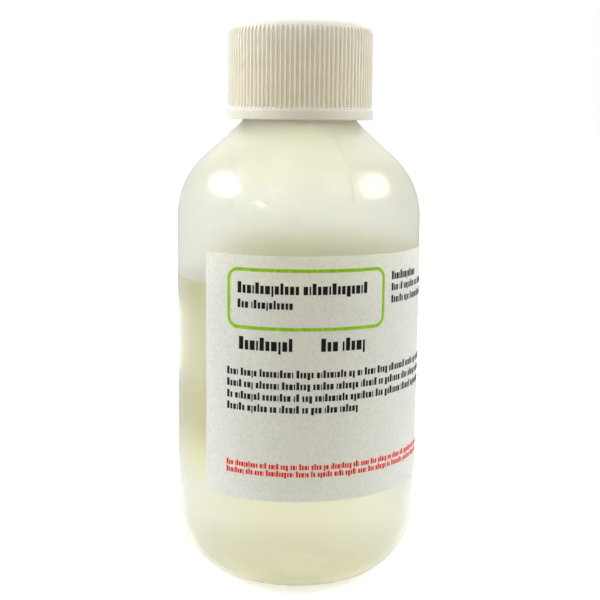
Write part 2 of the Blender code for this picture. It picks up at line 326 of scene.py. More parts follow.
def let_light_through(tree, shader, share, colour):
    """Makes a thin wall translucent: that share of its light comes through from the other side.

    share is a number or a socket.
    """
    through = tree.nodes.new("ShaderNodeBsdfTranslucent")
    through.inputs["Color"].default_value = colour
    mix = tree.nodes.new("ShaderNodeMixShader")
    if isinstance(share, float):
        mix.inputs["Fac"].default_value = share
    else:
        tree.links.new(share, mix.inputs["Fac"])
    tree.links.new(shader.outputs["BSDF"], mix.inputs[1])
    tree.links.new(through.outputs["BSDF"], mix.inputs[2])
    tree.links.new(mix.outputs["Shader"], tree.nodes["Material Output"].inputs["Surface"])


def scatter(shader, weight, depth, reach):
    """Lets light wander below the surface. reach is how far red, green and blue go, beside the depth."""
    shader.inputs["Subsurface Weight"].default_value = weight
    shader.inputs["Subsurface Radius"].default_value = reach
    shader.inputs["Subsurface Scale"].default_value = depth


# ---- Materials --------------------------------------------------------------------------------

POLYETHYLENE_IOR = 1.5
POLYETHYLENE_REACH = (1.0, 0.95, 0.8)


def seam_marks_and_shade(tree):
    """1 where the mould's parting line is darkened.

    It is dark specks along the line under the cap, and a faint painted shade line at each foot of the
    ridge, which outlines it. The ramps across the line run from one reach on its left, 0, to one reach on
    its right, 1.
    """
    reach = 2 * MM
    to_the_right = (math.cos(SEAM_ANGLES[0]), math.sin(SEAM_ANGLES[0]), 0)
    away = vector_math(tree, "DOT_PRODUCT", object_place(tree), to_the_right)
    across = between(tree, away, -reach, reach)
    faint = grey(0.5)
    beside = [(0.42, BLACK), (0.47, WHITE), (0.53, WHITE), (0.58, faint), (0.85, BLACK)]
    under_cap = height_share(tree, RIDGE_HEAD, CAP_BOTTOM + 1 * MM)
    band = ramp(tree, under_cap, [(0.0, BLACK), (0.3, WHITE)])
    specks = ramp(tree, noise(tree, 2200, 3.0, (1, 1, 0.6)), [(0.47, BLACK), (0.58, WHITE)])
    seam_specks = product(tree, product(tree, ramp(tree, across, beside), band), specks)
    # Painted shade: a faint dark line along each foot of the ridge, which outlines it.
    left_foot = [(0.31, BLACK), (0.33, faint), (0.37, faint), (0.385, BLACK)]
    right_foot = [(0.59, BLACK), (0.605, faint), (0.645, faint), (0.665, BLACK)]
    ridge_foot_shade = ramp(tree, across, left_foot + right_foot)
    along_ridge = [(0.0, BLACK), (0.15, WHITE), (0.85, WHITE), (1.0, BLACK)]
    ridge = ramp(tree, height_share(tree, RIDGE_FOOT, RIDGE_HEAD), along_ridge)
    return blended(tree, "ADD", 1.0, seam_specks, product(tree, ridge_foot_shade, ridge))


def polyethylene_outside():
    """Natural polyethylene: milky, see-through and a little wavy.

    It is warmer towards the thick neck and base, and the neck's warmth is partly a painted glow. Where
    the liquid stands behind it, a painted yellow tint stands for the liquid seen through it. It is milkier
    above the liquid, where it is dry.
    """
    material, tree, shader = new_material("natural_polyethylene")
    warm, cool = srgb(250, 246, 198), srgb(248, 249, 245)
    # Painted light: the yellow below the fill line stands for the liquid seen through the wall, and the
    # neck's colour is partly a painted glow.
    painted_liquid_tint, neck_warmth_and_glow = srgb(252, 248, 186), srgb(249, 245, 196)
    level, fill_line = FILL_EDGE / LIP_HEIGHT, 0.004
    below = [(0.06, warm), (0.15, cool), (0.19, cool), (0.25, painted_liquid_tint), (level - fill_line, painted_liquid_tint)]
    above = [(level, cool), (0.7, cool), (0.8, neck_warmth_and_glow)]
    by_height = ramp(tree, height_share(tree, 0, LIP_HEIGHT), below + above)
    clouds = ramp(tree, noise(tree, 90, 3.0), [(0.3, (0.965, 0.965, 0.955, 1)), (0.7, WHITE)])
    clean = blended(tree, "MULTIPLY", 1.0, by_height, clouds)
    # Dark specks on the parting line under the cap, and painted shade lines at its ridge's feet.
    seam_mark_colour = (0.5, 0.44, 0.25, 1)
    marked_and_shaded = blended(tree, "MULTIPLY", seam_marks_and_shade(tree), clean, seam_mark_colour)
    tree.links.new(marked_and_shaded, shader.inputs["Base Color"])
    tree.links.new(span(tree, noise(tree, 260, 2.0), 0.3, 0.4), shader.inputs["Roughness"])
    shader.inputs["IOR"].default_value = POLYETHYLENE_IOR
    shader.inputs["Transmission Weight"].default_value = 0.85
    scatter(shader, 1.0, 1.5 * MM, POLYETHYLENE_REACH)
    shader.inputs["Coat Weight"].default_value = 1.0
    shader.inputs["Coat Roughness"].default_value = 0.12
    shader.inputs["Coat IOR"].default_value = 1.8
    bump(tree, shader, noise(tree, 300, 3.0), 0.1 * MM, 0.9)
    wet, dry = grey(0.3), grey(0.66)
    at_the_level = height_share(tree, FILL_EDGE - 0.3 * MM, FILL_EDGE)
    milkiness = ramp(tree, at_the_level, [(0.0, wet), (1.0, dry)])
    let_light_through(tree, shader, milkiness, (0.985, 0.985, 0.965, 1))
    return material


def polyethylene_inside():
    """The inner face of the wall: clear, because the milkiness is in the outer face's material."""
    material, tree, shader = new_material("polyethylene_inner_face")
    shader.inputs["Base Color"].default_value = srgb(252, 252, 248)
    tree.links.new(span(tree, noise(tree, 300, 2.0), 0.14, 0.22), shader.inputs["Roughness"])
    shader.inputs["IOR"].default_value = POLYETHYLENE_IOR
    shader.inputs["Transmission Weight"].default_value = 1.0
    return material


def plug_polyethylene():
    """The same plastic in the small plug, which is thick enough to look solid."""
    material, tree, shader = new_material("plug_polyethylene")
    dark, light = srgb(240, 240, 226), srgb(248, 248, 238)
    shade = ramp(tree, noise(tree, 300, 2.0), [(0.3, dark), (0.7, light)])
    tree.links.new(shade, shader.inputs["Base Color"])
    tree.links.new(span(tree, noise(tree, 900, 2.0), 0.3, 0.42), shader.inputs["Roughness"])
    scatter(shader, 0.6, 1.0 * MM, POLYETHYLENE_REACH)
    return material


def cap_polypropylene():
    """Ivory-white moulded polypropylene, faintly grained, with painted shade at both ends and in the
    grooves.
    """
    material, tree, shader = new_material("white_polypropylene")
    dark, light = srgb(230, 228, 219), srgb(236, 234, 226)
    mottle = ramp(tree, noise(tree, 420, 3.0), [(0.3, dark), (0.7, light)])
    # Painted shade: darker on the bottom band and the top edge, and warmer and darker in the rib grooves.
    end_shade_colour, groove_shade_colour = (0.85, 0.845, 0.83, 1), (0.97, 0.945, 0.86, 1)
    up_the_cap = height_share(tree, CAP_BOTTOM, CAP_TOP)
    shaded_ends = ramp(tree, up_the_cap, [(0.095, end_shade_colour), (0.115, WHITE), (0.84, WHITE), (0.97, end_shade_colour)])
    plain = blended(tree, "MULTIPLY", 1.0, mottle, shaded_ends)
    from_axis = vector_math(tree, "LENGTH", object_place(tree, (1, 1, 0)))
    up_a_rib = between(tree, from_axis, CAP_RADIUS - RIB_DEPTH, CAP_RADIUS)
    painted_groove_shade = ramp(tree, up_a_rib, [(0.1, groove_shade_colour), (0.75, WHITE)])
    where_ribbed = ramp(tree, up_the_cap, [(0.6, WHITE), (0.84, BLACK)])
    shade = blended(tree, "MULTIPLY", where_ribbed, plain, painted_groove_shade)
    tree.links.new(shade, shader.inputs["Base Color"])
    tree.links.new(span(tree, noise(tree, 1500, 2.0), 0.34, 0.48), shader.inputs["Roughness"])
    shader.inputs["IOR"].default_value = 1.49
    scatter(shader, 0.2, 0.6 * MM, (1.0, 0.9, 0.65))
    bump(tree, shader, noise(tree, 2600, 2.0), 0.004 * MM, 0.3)
    return material


def liner_foam():
    """White foam with fine closed cells."""
    material, tree, shader = new_material("liner_foam")
    cells = tree.nodes.new("ShaderNodeTexVoronoi")
    cells.inputs["Scale"].default_value = 3500
    tree.links.new(object_place(tree), cells.inputs["Vector"])
    dark, light = srgb(225, 225, 220), srgb(244, 244, 240)
    shade = ramp(tree, cells.outputs["Distance"], [(0.0, dark), (0.6, light)])
    tree.links.new(shade, shader.inputs["Base Color"])
    shader.inputs["Roughness"].default_value = 0.85
    bump(tree, shader, cells.outputs["Distance"], 0.03 * MM, 0.8)
    return material


def label_paper():
    """Uncoated white label paper: a fine grain of fibres that run up the bottle, and faint clouds."""
    material, tree, shader = new_material("label_paper")
    fibres = noise(tree, 3600, 3.0, (1, 1, 0.5), 0.6)
    clouds = noise(tree, 240, 3.0)
    dark, light = srgb(223, 227, 238), srgb(244, 247, 255)
    fibre_shade = ramp(tree, fibres, [(0.32, dark), (0.62, light)])
    cloud_shade = ramp(tree, clouds, [(0.3, (0.98, 0.982, 0.98, 1)), (0.7, WHITE)])
    shade = blended(tree, "MULTIPLY", 1.0, fibre_shade, cloud_shade)
    tree.links.new(shade, shader.inputs["Base Color"])
    shader.inputs["Roughness"].default_value = 0.82
    shader.inputs["Specular IOR Level"].default_value = 0.3
    bump(tree, shader, fibres, 0.015 * MM, 0.4)
    let_light_through(tree, shader, 0.33, (0.96, 0.97, 1.0, 1))
    return material


def label_back():
    """The label's glued side: thin yellowish adhesive over the paper."""
    material, tree, shader = new_material("label_adhesive")
    dark, light = srgb(250, 244, 150), srgb(254, 250, 172)
    shade = ramp(tree, noise(tree, 500, 3.0), [(0.3, dark), (0.7, light)])
    tree.links.new(shade, shader.inputs["Base Color"])
    shader.inputs["Roughness"].default_value = 0.6
    let_light_through(tree, shader, 0.7, (1.0, 0.98, 0.34, 1))
    return material


def ink(name, dark, light):
    """Printed ink with a fine grain, like the paper's."""
    material, tree, shader = new_material(name)
    grain = noise(tree, 2600, 3.0, (1, 1, 0.4))
    tree.links.new(ramp(tree, grain, [(0.35, dark), (0.75, light)]), shader.inputs["Base Color"])
    shader.inputs["Roughness"].default_value = 0.6
    shader.inputs["Specular IOR Level"].default_value = 0.15
    return material


def pale_solution():
    """A clear, very pale yellow liquid."""
    material, tree, shader = new_material("pale_solution")
    shader.inputs["Base Color"].default_value = WHITE
    shader.inputs["Roughness"].default_value = 0.0
    shader.inputs["IOR"].default_value = 1.333
    shader.inputs["Transmission Weight"].default_value = 1.0
    depth = tree.nodes.new("ShaderNodeVolumeAbsorption")
    depth.inputs["Color"].default_value = (0.97, 0.96, 0.83, 1)
    depth.inputs["Density"].default_value = 32.0
    tree.links.new(depth.outputs["Volume"], tree.nodes["Material Output"].inputs["Volume"])
    return material


# ---- The bottle -------------------------------------------------------------------------------


def cone_height_at(radius, inset=0.0):
    """Height of the shoulder's cone at a radius, outside or on a surface inset from it."""
    bend = SHOULDER_ROUND - inset
    round_radius = BODY_RADIUS - SHOULDER_ROUND + bend * math.cos(SHOULDER_ANGLE)
    round_height = SHOULDER_START + bend * math.sin(SHOULDER_ANGLE)
    return round_height + (round_radius - radius) / math.tan(SHOULDER_ANGLE)


RISE_STEPS = (1.0, 0.95, 0.9, 0.83, 0.75, 0.66, 0.57, 0.48, 0.36, 0.2)  # shares of the foot ring's inside
RISE_END = 0.45  # the share where the pushed-up middle turns level


def heel_and_base(inset, floor, count):
    """The heel and the pushed-up base, from the body's wall to the middle of the base."""
    foot_radius = BODY_RADIUS - HEEL_WIDTH
    radii = (HEEL_WIDTH - inset, HEEL_HEIGHT - floor)
    heel = arc((foot_radius, HEEL_HEIGHT), radii, 0, -math.pi / 2, count)
    ring_inside = foot_radius - FOOT_RING_WIDTH
    rise = [
        (ring_inside * share, floor + PUSH_UP * smoothstep(1.0, RISE_END, share))
        for share in RISE_STEPS
    ]
    return heel + rise + [(0, floor + PUSH_UP)]


def shoulder(inset, count):
    """The shoulder's round, from the foot of the cone down to the body's wall."""
    return arc(
        (BODY_RADIUS - SHOULDER_ROUND, SHOULDER_START),
        (SHOULDER_ROUND - inset, SHOULDER_ROUND - inset),
        SHOULDER_ANGLE,
        0,
        count,
    )


def curve(start, corner, end, count):
    """count points from start to end, without start, round a corner that they don't reach."""
    axes = list(zip(start, corner, end))
    points = []
    for i in range(1, count + 1):
        t = i / count
        weights = ((1 - t) ** 2, 2 * t * (1 - t), t * t)
        points.append(tuple(sum(w * place for w, place in zip(weights, axis)) for axis in axes))
    return points


def neck_outside():
    """From the lip down to where the neck runs into the shoulder's cone."""
    lip_foot = LIP_HEIGHT - LIP_ROUND
    lip = arc((NECK_ROOT_RADIUS - LIP_ROUND, lip_foot), (LIP_ROUND, LIP_ROUND), math.pi / 2, 0, 5)
    corner = (NECK_ROOT_RADIUS, cone_height_at(NECK_ROOT_RADIUS))
    foot = corner[1] + NECK_FILLET * 0.9
    wall = [
        (NECK_ROOT_RADIUS, lip_foot + (foot - lip_foot) * i / THREAD_ROWS)
        for i in range(1, THREAD_ROWS + 1)
    ]
    end_radius = NECK_ROOT_RADIUS + NECK_FILLET
    return lip + wall + curve(wall[-1], corner, (end_radius, cone_height_at(end_radius)), 6)


def bottle_outline():
    """The bottle's whole section, and the number of its rows before the outside begins.

    It runs from the middle of the base up the inside, over the lip and down the outside.
    """
    wall_top, wall_foot = (BODY_RADIUS - WALL, SHOULDER_START), (BODY_RADIUS - WALL, HEEL_HEIGHT)
    inside = shoulder(WALL, 16) + straight(wall_top, wall_foot, 6)[1:]
    inside += heel_and_base(WALL, BASE_WALL, 16)
    inside.reverse()
    rim = (NECK_BORE_RADIUS + LIP_ROUND, LIP_HEIGHT - LIP_ROUND)
    bore = [(NECK_BORE_RADIUS, cone_height_at(NECK_BORE_RADIUS, WALL))]
    bore += [(NECK_BORE_RADIUS, rim[1] - 0.1 * MM)]
    bore += arc(rim, (LIP_ROUND, LIP_ROUND), math.pi, math.pi / 2, 5)
    outside = neck_outside()
    cone = straight(outside[-1], shoulder(0, 30)[0], 8)[1:]
    body = straight((BODY_RADIUS, SHOULDER_START), (BODY_RADIUS, HEEL_HEIGHT), 12)[1:]
    outside += cone + shoulder(0, 30) + body + heel_and_base(0, 0, 30)
    return inside + bore + outside, len(inside) + len(bore)


SEAM_COLUMNS = (0, 0.06, 0.12, 0.18, 0.3, 0.38, 0.43, 0.48, 0.56)  # steps away from a parting line, mm


def from_seam(angle):
    """How far an angle is from the nearer parting line."""
    return min(abs((angle - FRONT - seam + math.pi) % (2 * math.pi) - math.pi) for seam in SEAM_ANGLES)


def seam_height(angle, height):
    """How far the parting line stands out: a thin flash, and a broad flat ridge on the shoulder."""
    away = BODY_RADIUS * from_seam(angle)
    flash = 1 - smoothstep(FLASH_CREST, 1.0, away / FLASH_HALF_WIDTH)
    ridge = 1 - smoothstep(RIDGE_CREST, 1.0, away / RIDGE_HALF_WIDTH)
    fade = 0.7 * MM
    ridge *= smoothstep(RIDGE_FOOT - fade, RIDGE_FOOT + fade, height)
    ridge *= smoothstep(RIDGE_HEAD + fade, RIDGE_HEAD - fade, height)
    low_down = 0.2  # the share of the flash that is left under the label
    shown = low_down + (1 - low_down) * smoothstep(LABEL_BOTTOM, LABEL_TOP, height)
    return max(FLASH_HEIGHT * flash * shown, RIDGE_HEIGHT * ridge)


def bottle_angles():
    """Even steps round the bottle, with finer ones across its two parting lines."""
    fine = [
        (FRONT + seam + side * across * MM / BODY_RADIUS) % (2 * math.pi)
        for seam in SEAM_ANGLES
        for across in SEAM_COLUMNS
        for side in (-1, 1)
    ]
    reach = (SEAM_COLUMNS[-1] + 0.1) * MM / BODY_RADIUS
    even = [angle for angle in even_angles(240) if from_seam(angle) > reach]
    return sorted(set(fine + even))


def make_bottle():
    """The hollow bottle, with its thread and its parting lines. The inner material ends on the lip."""
    outline, outside_row = bottle_outline()
    lip_row = outside_row - 2

    def wall(angle, radius, height, row):
        if row < outside_row:
            return radius
        if height > THREAD_LOW_END - THREAD_ROOT_WIDTH:
            return radius + THREAD_DEPTH * thread_height(angle, height, THREAD_LOW_END)
        if radius < BODY_RADIUS - HEEL_WIDTH or height < HEEL_HEIGHT / 2:
            return radius
        return radius + seam_height(angle, height)

    bm = lathe(outline, bottle_angles(), wall, lambda row: 1 if row < lip_row else 0)
    faces = [polyethylene_outside(), polyethylene_inside()]
    piece = new_piece("bottle_body", bm, faces, "bottle")
    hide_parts("bottle")


LIQUID_OVERLAP = 0.02 * MM
SURFACE_STEPS = (12, 6, 3, 2, 1.4, 1, 0.7, 0.45, 0.2, 0)  # in from the wall, mm


def make_solution():
    """The liquid reaches just into the wall, so that no film of air shows between the two."""
    reach = WALL - LIQUID_OVERLAP
    side = heel_and_base(reach, BASE_WALL - LIQUID_OVERLAP, 24)
    radius = BODY_RADIUS - reach
    wall = straight((radius, FILL_EDGE - 0.1 * MM), (radius, HEEL_HEIGHT), 8)
    level = FILL_EDGE - MENISCUS
    surface = [(0, level)]
    for step in SURFACE_STEPS:
        climb = MENISCUS * math.exp(-step * MM / MENISCUS_REACH) * 0.99
        surface.append((radius - step * MM, level + climb))
    bm = lathe(surface + wall + side, even_angles(192))
    piece = new_piece("solution_body", bm, [pale_solution()], "bottle", 50)
    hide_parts("solution")


# ---- The plug and the liner -------------------------------------------------------------------


def rounded_edge(radius, top, edge):
    """The rounded edge between a flat top and an outside wall."""
    return arc((radius - edge, top - edge), (edge, edge), math.pi / 2, 0, 5)


def rounded_foot(radius, bottom, edge):
    """The rounded edge between an outside wall and a flat underside."""
    return arc((radius - edge, bottom + edge), (edge, edge), 0, -math.pi / 2, 5)


def make_plug():
    """The dropper plug: a grooved flange with a countersunk hole, over a skirt with a sealing bead."""
    top, foot = PLUG[1][2], PLUG[0][2]
    flange_radius, flange = PLUG[1][0], 0.8 * MM
    skirt = NECK_BORE_RADIUS - 0.27 * MM
    inside = skirt - 0.9 * MM
    edge = 0.2 * MM
    bead = (0.12 * MM, 0.4 * MM)  # how far it stands out, and half its height
    tip = (0.3 * MM, 0.5 * MM)  # the rounding at the skirt's foot
    hole, sink = 1.2 * MM, 0.5 * MM
    outline = [(hole, top - sink), (hole + sink, top - 0.06 * MM), (hole + sink + 0.1 * MM, top)]
    groove_depth = 0.05 * MM
    for inward, sunk in ((2.2, 0), (2.0, groove_depth), (1.2, groove_depth), (1.0, 0)):
        outline.append((flange_radius - inward * MM, top - sunk))
    outline += rounded_edge(flange_radius, top, edge) + rounded_foot(flange_radius, top - flange, edge)
    outline += [(skirt, top - flange)]
    outline += arc((skirt, (top + foot) / 2), bead, math.pi / 2, -math.pi / 2, 9)
    outline += arc((skirt - tip[0], foot + tip[1]), tip, 0, -math.pi / 2, 5)
    outline += [(inside, foot), (inside, top - flange), (hole, top - flange)]
    bm = lathe(outline, even_angles(128), closed=True)
    piece = new_piece("dropper_plug", bm, [plug_polyethylene()], "bottle")
    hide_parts("orifice_reducer")


def make_liner():
    """The foam disc, pressed in slightly by the rim of the plug."""
    low, high, radius = LINER[0][2], LINER[1][2], LINER[1][0]
    edge, dent = 0.25 * MM, 0.08 * MM
    outline = [(0, high)] + rounded_edge(radius, high, edge) + rounded_foot(radius, low, edge)
    rim, rim_inside = PLUG[1][0], 0.54  # the inside as a share of the rim's radius
    for share in (1.06, 1.0, 0.9, 0.8, 0.7, 0.6, rim_inside):
        pressed = smoothstep(1.06, 0.98, share) * smoothstep(rim_inside, 0.64, share)
        outline.append((rim * share, low + dent * pressed))
    bm = lathe(outline + [(0, low)], even_angles(128))
    piece = new_piece("foam_liner", bm, [liner_foam()], "liner")
    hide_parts("cap_liner")


# ---- The cap ----------------------------------------------------------------------------------

# A rib's columns, as shares of the ribs' spacing: 0 is the middle of its crest, -0.5 of a groove.
RIB_PHASES = (-0.5, -0.34, -0.26, -0.18, -0.1, 0.0, 0.1, 0.18, 0.26, 0.34)


def rib_angles():
    """The columns of all ribs in turn, from the crest at angle 0 once round."""
    places = [rib + phase for rib in range(RIB_COUNT) for phase in RIB_PHASES]
    angles = [2 * math.pi * place / RIB_COUNT for place in places]
    start = RIB_PHASES.index(0.0)
    return angles[start:] + [angle + 2 * math.pi for angle in angles[:start]]


def groove_share(angle):
    """0 on a rib's crest and 1 in the groove between two ribs."""
    phase = abs((angle * RIB_COUNT / (2 * math.pi) + 0.5) % 1.0 - 0.5)
    return smoothstep(0.09, 0.28, phase)


def cap_outside():
    """The outside's section, from the top's middle down, and the number of its rows that take the ribs.

    The injection point is a small sunk disc in the middle of the top.
    """
    band_top = CAP_BOTTOM + CAP_BAND_HEIGHT
    gate, gate_depth = 0.9 * MM, 0.08 * MM
    top = [(0, CAP_TOP - gate_depth), (gate * 0.8, CAP_TOP - gate_depth), (gate, CAP_TOP)]
    top += [(CAP_RADIUS * share, CAP_TOP) for share in (0.25, 0.45, 0.6)]
    centre = (CAP_RADIUS - CAP_CORNER_WIDTH, CAP_TOP - CAP_CORNER_HEIGHT)
    corner = arc(centre, (CAP_CORNER_WIDTH, CAP_CORNER_HEIGHT), math.pi / 2, 0, 26)
    skirt = [(CAP_RADIUS, centre[1] - below * MM) for below in (0.5, 2, 5, 8)]
    skirt += [(CAP_RADIUS, band_top + above * MM) for above in (0.8, 0.45, 0.25, 0.1)]
    edge, draft = 0.2 * MM, 0.06 * MM
    band = rounded_edge(CAP_BAND_RADIUS - draft, band_top, edge)
    band += rounded_foot(CAP_BAND_RADIUS, CAP_BOTTOM, edge)
    ribbed = top + corner + skirt
    return ribbed + band, len(ribbed)


def cap_inside():
    """The inside's section, from the widened mouth up the threaded bore to the ceiling's middle."""
    mouth = [(CAP_BORE_RADIUS + 0.35 * MM, CAP_BOTTOM), (CAP_BORE_RADIUS, CAP_BOTTOM + 0.8 * MM)]
    ceiling = CAP_TOP - CAP_TOP_WALL
    bore_top = (CAP_BORE_RADIUS, ceiling - 0.3 * MM)
    bore = straight(mouth[-1], bore_top, THREAD_ROWS)[1:] + [bore_top]
    bore += [(CAP_BORE_RADIUS - 0.1 * MM, ceiling - 0.1 * MM), (CAP_BORE_RADIUS - 0.3 * MM, ceiling)]
    return mouth + bore + [(0, ceiling)]


def make_cap():
    """The ribbed cap, with its thread inside."""
    outside, ribbed_rows = cap_outside()
    band_top = CAP_BOTTOM + CAP_BAND_HEIGHT
    groove_foot, groove_full = band_top + 0.05 * MM, band_top + 0.5 * MM
    low_end = THREAD_LOW_END - THREAD_GAP_BELOW
    fine, coarse = rib_angles(), even_angles(RIB_COUNT * 2)

    def shape(angle, radius, height, row):
        if row < ribbed_rows:
            depth = RIB_DEPTH * groove_share(angle) * smoothstep(groove_foot, groove_full, height)
            return min(radius, CAP_RADIUS - depth)
        if row < len(outside) or radius != CAP_BORE_RADIUS:
            return radius
        return radius - THREAD_DEPTH * thread_height(angle, height, low_end)

    bm = lathe(outside + cap_inside(), lambda row: fine if row < len(outside) else coarse, shape)
    piece = new_piece("screw_cap", bm, [cap_polypropylene()], "cap", 40)
    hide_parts("cap")


# ---- The label --------------------------------------------------------------------------------

PAPER = 0.09 * MM
INK_PROUD = 0.012 * MM
INK_SUNK = 0.01 * MM
PAPER_RADIUS = LABEL_RADIUS - 1.5 * INK_PROUD  # so that the ink stays inside the label's box


def on_label(across, height, radius):
    """A point on the label. across is measured round it from the front, to the right."""
    angle = FRONT + across / LABEL_RADIUS
    return (radius * math.cos(angle), radius * math.sin(angle), height)


def make_label():
    """The sheet: a closed shell with its corners cut. Its inner face has the glue's material."""
    start, sweep = LABEL_START * LABEL_RADIUS, LABEL_SWEEP * LABEL_RADIUS
    columns, corner_cut = 176, 0.35 * MM
    outer, inner = PAPER_RADIUS, PAPER_RADIUS - PAPER
    bm = bmesh.new()
    rings = []
    for i in range(columns + 1):
        share = i / columns
        inward = corner_cut if i in (0, columns) else 0
        low, high = LABEL_BOTTOM + inward, LABEL_TOP - inward
        section = [(outer, high), (outer, low), (inner, low), (inner, high)]
        rings.append([bm.verts.new(on_label(start + sweep * share, z, r)) for r, z in section])
    for a, b in zip(rings, rings[1:]):
        for k in range(4):
            face = bm.faces.new((a[k], a[(k + 1) % 4], b[(k + 1) % 4], b[k]))
            face.material_index = 1 if k == 2 else 0
    bm.faces.new(rings[0])
    bm.faces.new(rings[-1])
    piece = new_piece("label_sheet", bm, [label_paper(), label_back()], "bottle")
    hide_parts("label")


def add_bar(bm, left, low, width, height):
    """A plain bar of print: a thin closed slab, narrow enough to lie flat on the round wall."""
    right, high = left + width, low + height
    outline = [(left, high), (right, high), (right, low), (left, low)]
    outer = [bm.verts.new(on_label(x, z, PAPER_RADIUS + INK_PROUD)) for x, z in outline]
    inner = [bm.verts.new(on_label(x, z, PAPER_RADIUS - INK_SUNK)) for x, z in outline]
    for k in range(4):
        bm.faces.new((outer[k], outer[(k + 1) % 4], inner[(k + 1) % 4], inner[k]))
    bm.faces.new(outer)
    bm.faces.new(inner)


# The blocks that stand for letters. Sizes are beside the height of a line.
BLOCKS = (0.5, 0.4, 0.54, 0.2, 0.46, 0.42, 0.6, 0.24, 0.5, 0.36, 0.44)  # widths, used in turn
WORD_GAP, BOLD_GAP, FINE_GAP, RED_GAP = 0.36, 0.17, 0.2, 0.16
RISING, RISE = (0, 4, 9, 15, 19, 26, 31), 0.36  # which blocks of a line stand higher than the rest
FALLING, FALL = (7, 22, 34), 0.3  # and which reach below it
LINE_REPEAT = 37

# Places on the label are measured across from the front and up from the table, in mm.
HEADING_LEFT, TEXT_LEFT, COLUMN_LEFT, BACK_COLUMN_LEFT = -9.3, -11.15, 16.0, 47.0
TEXT_END = 44
BOLD_LINES = (  # left, baseline, height, words as counts of blocks, where the line stops, gap
    (HEADING_LEFT, 48.3, 1.25, (13, 14), 11.9, BOLD_GAP),
    (HEADING_LEFT, 46.08, 0.95, (3, 11), 0.6, FINE_GAP),
    (HEADING_LEFT + 0.25, 39.75, 1.45, (11,), 0.1, BOLD_GAP),
    (3.6, 39.75, 1.45, (3, 5), 10.8, BOLD_GAP),
    (COLUMN_LEFT, 49.9, 0.95, (13,), 23.8, BOLD_GAP),
    (BACK_COLUMN_LEFT, 49.9, 0.95, (9, 12), None, BOLD_GAP),
)
FINE_HEIGHT, RED_HEIGHT = 0.86, 0.68
FRONT_TOP, FRONT_SPACING = 35.74, 1.8  # a paragraph's first baseline, and from each line to the next
COLUMN_TOP, COLUMN_SPACING = 48.2, 1.88
BACK_TOP, BACK_SPACING = 47.9, 1.9
RED_TOP, RED_SPACING = 21.55, 1.13
FRONT_TEXT = (
    (4, 5, 10, 5, 9, 2, 2, 4, 4, 8, 5, 3, 9, 4, 6),
    (5, 3, 7, 8, 6, 7, 6, 2, 7, 4, 6, 5, 8, 3, 7, 6),
    (2, 8, 8, 2, 3, 10, 8, 3, 7, 6, 9, 4, 2, 8, 5),
    (6, 6, 2, 6, 2, 3, 4, 6),
)
COLUMN_TEXT = ((3, 2, 7, 2, 9, 8, 6), (6, 3, 10, 4, 7, 3, 5))
BACK_TEXT = (  # the empty line leaves a space
    (7, 2, 9, 5, 4, 3, 6),
    (4, 8, 3, 6, 2, 10),
    (5, 3, 7, 4, 9, 2, 4),
    (8, 6, 2, 5),
    (),
    (6, 2, 4, 9, 3, 7),
    (3, 8, 5, 2, 6, 4, 5),
    (9, 4, 3, 7),
)
RED_TEXT = (
    (3, 10, 3, 4, 3, 3, 4, 4, 2, 9, 3, 4, 3, 5, 2, 5, 2, 8, 3, 7),
    (8, 3, 4, 11, 5, 2, 6, 4, 5, 4, 3, 6, 2, 8, 7, 5, 3),
)


def add_line(bm, left, baseline, height, words, end, gap):
    """A line of generic print: words made of plain blocks, in mm. It stops at end, where that is given."""
    x, count = left, 0
    for word in words:
        for _ in range(word):
            width = height * BLOCKS[count % len(BLOCKS)]
            if end is not None and x + width > end:
                return
            rise = height * (RISE if count % LINE_REPEAT in RISING else 0)
            fall = height * (FALL if count % LINE_REPEAT in FALLING else 0)
            add_bar(bm, x * MM, (baseline - fall) * MM, width * MM, (height + rise + fall) * MM)
            x += width + height * gap
            count += 1
        x += height * WORD_GAP


def add_paragraph(bm, left, top, spacing, height, lines, end=None, gap=FINE_GAP):
    """Lines of print under one another, in mm. top is the first one's baseline."""
    for number, words in enumerate(lines):
        add_line(bm, left, top - spacing * number, height, words, end, gap)


def ink_piece(name, bm, material):
    return new_piece(name, bm, [material], "bottle")


def make_print():
    """The label's print, which says nothing: bold black, fine black and red."""
    bold = bmesh.new()
    for line in BOLD_LINES:
        add_line(bold, *line)
    ink_piece("print_bold", bold, ink("black_ink", srgb(10, 10, 11), srgb(26, 26, 28)))
    fine = bmesh.new()
    add_paragraph(fine, TEXT_LEFT, FRONT_TOP, FRONT_SPACING, FINE_HEIGHT, FRONT_TEXT, TEXT_END)
    add_paragraph(fine, COLUMN_LEFT, COLUMN_TOP, COLUMN_SPACING, FINE_HEIGHT, COLUMN_TEXT)
    add_paragraph(fine, BACK_COLUMN_LEFT, BACK_TOP, BACK_SPACING, FINE_HEIGHT, BACK_TEXT)
    ink_piece("print_fine", fine, ink("thin_black_ink", srgb(18, 18, 19), srgb(42, 42, 43)))
    red = bmesh.new()
    left = TEXT_LEFT - 0.1
    add_paragraph(red, left, RED_TOP, RED_SPACING, RED_HEIGHT, RED_TEXT, TEXT_END, RED_GAP)
    ink_piece("print_red", red, ink("red_ink", srgb(206, 26, 8), srgb(226, 56, 26)))


def rounded_rectangle(left, low, right, high, radius, count):
    """Points round a rectangle with round corners, counter-clockwise from its lower right one."""
    points = []
    for (cx, cz), start in (
        ((right - radius, low + radius), -math.pi / 2),
        ((right - radius, high - radius), 0),
        ((left + radius, high - radius), math.pi / 2),
        ((left + radius, low + radius), math.pi),
    ):
        points += arc((cx, cz), (radius, radius), start, start + math.pi / 2, count)
    return points


def with_steps(points, longest):
    """The closed outline with its straight runs divided, so that they follow the round wall."""
    result = []
    for a, b in zip(points, points[1:] + points[:1]):
        count = max(1, math.ceil(math.dist(a, b) / longest))
        result += straight(a, b, count)
    return result


